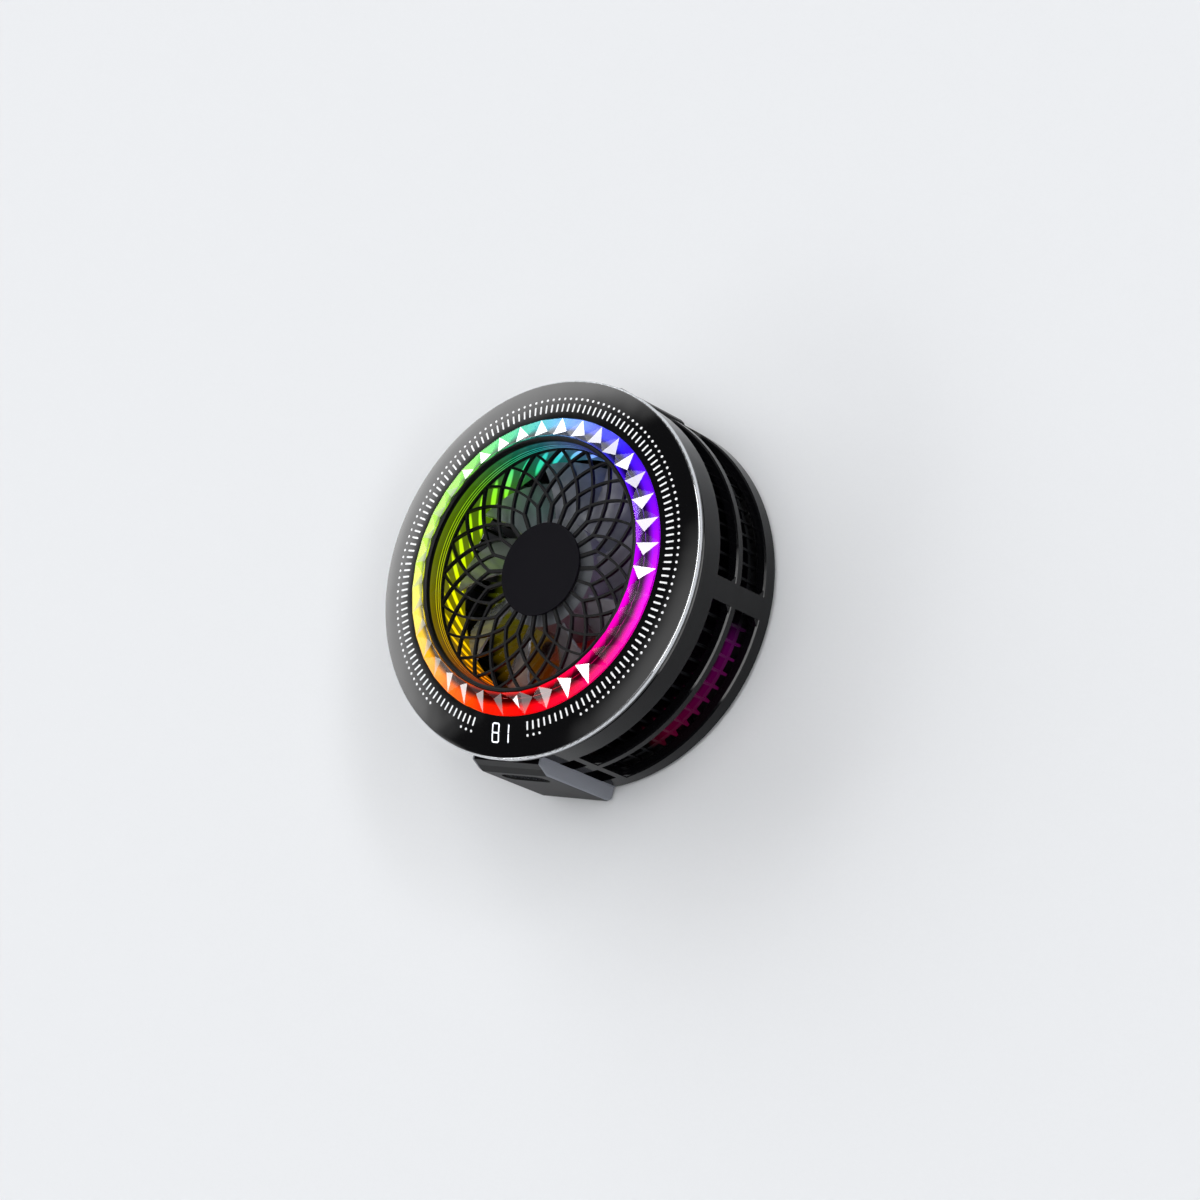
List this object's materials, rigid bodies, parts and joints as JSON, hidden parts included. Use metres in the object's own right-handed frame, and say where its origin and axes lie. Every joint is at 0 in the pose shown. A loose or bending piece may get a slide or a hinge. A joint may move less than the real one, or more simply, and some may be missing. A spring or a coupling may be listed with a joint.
{
  "type": "phone cooling fan",
  "caption": "Round magnetic cooler for the back of a phone: woven fan grille in a faceted light ring, slotted side vents, thermoelectric cold plate behind.",
  "frame": {"origin": "centre of the flat cold face that lies on the phone", "axes": "+Z along the fan axis to the front, +Y to the mode button at 12 o'clock, -Y to the power socket at 6 o'clock, +X to 3 o'clock"},
  "size_m": [0.0616, 0.0634, 0.0247],
  "materials": {
    "gloss_black": "polished black moulding",
    "satin_black": "fine satin moulding",
    "clear_facets": "clear polycarbonate cut into facets",
    "clear_duct": "clear polycarbonate, polished",
    "milky_plastic": "milky light diffuser",
    "circuit_board": "solder-masked laminate",
    "lamp_body": "encapsulated lamps",
    "smoked_blades": "smoke grey moulding",
    "grip_silicone": "matt silicone",
    "foam": "closed-cell foam",
    "thermal_sheet": "soft thermal sheet",
    "cold_aluminium": "fine turned face",
    "dark_fins": "black anodised",
    "screw_steel": "zinc plated",
    "socket_steel": "nickel plated",
    "yoke_steel": "plain steel",
    "shaft_steel": "ground and polished",
    "plated_magnet": "nickel plated magnet",
    "ferrite": "bonded ferrite",
    "ceramic": "white alumina",
    "semiconductor": "sintered",
    "copper_wire": "enamelled copper",
    "bronze": "sintered bronze",
    "pale_nylon": "natural nylon",
    "probe_resin": "resin bead"
  },
  "bodies": {
    "cooler": {"front_bezel": "gloss_black", "crystal_ring": "clear_facets", "trim_ring": "gloss_black", "light_sleeve": "clear_duct", "duct_ring": "clear_duct", "diffuser_ring": "milky_plastic", "lamp_board": "circuit_board", "ring_lamps": "lamp_body", "display_module": "satin_black", "front_grille": "satin_black", "hub_cap": "satin_black", "front_frame": "satin_black", "main_housing": "gloss_black", "rear_cover": "satin_black", "grip_ring": "grip_silicone", "housing_screws": "screw_steel", "magnet_ring": "plated_magnet", "magnet_yoke": "yoke_steel", "cold_plate": "cold_aluminium", "temperature_probe": "probe_resin", "insulation_ring": "foam", "thermal_pads": "thermal_sheet", "cold_ceramic": "ceramic", "thermoelectric_legs": "semiconductor", "hot_ceramic": "ceramic", "heat_sink": "dark_fins", "fan_seat": "satin_black", "fan_screws": "screw_steel", "motor_board": "circuit_board", "stator_core": "yoke_steel", "stator_coils": "copper_wire", "shaft_bearing": "bronze", "thrust_washer": "pale_nylon", "control_board": "circuit_board", "socket_shell": "socket_steel", "socket_tongue": "satin_black", "button_board": "circuit_board", "button_switch": "satin_black"},
    "rotor": {"impeller": "smoked_blades", "rotor_yoke": "yoke_steel", "rotor_magnet": "ferrite", "fan_shaft": "shaft_steel", "lock_washer": "pale_nylon"},
    "button": {"mode_button": "gloss_black", "switch_plunger": "pale_nylon"}
  },
  "joints": [
    {"name": "fan_spin", "type": "hinge", "parent": "cooler", "child": "rotor", "pos_m": [0, 0, 0.014], "axis": [0, 0, 1], "continuous": true},
    {"name": "button_press", "type": "slide", "parent": "cooler", "child": "button", "axis": [0, -1, 0], "range_m": [0, 0.0004], "stiffness_N_per_m": 3000}
  ]
}
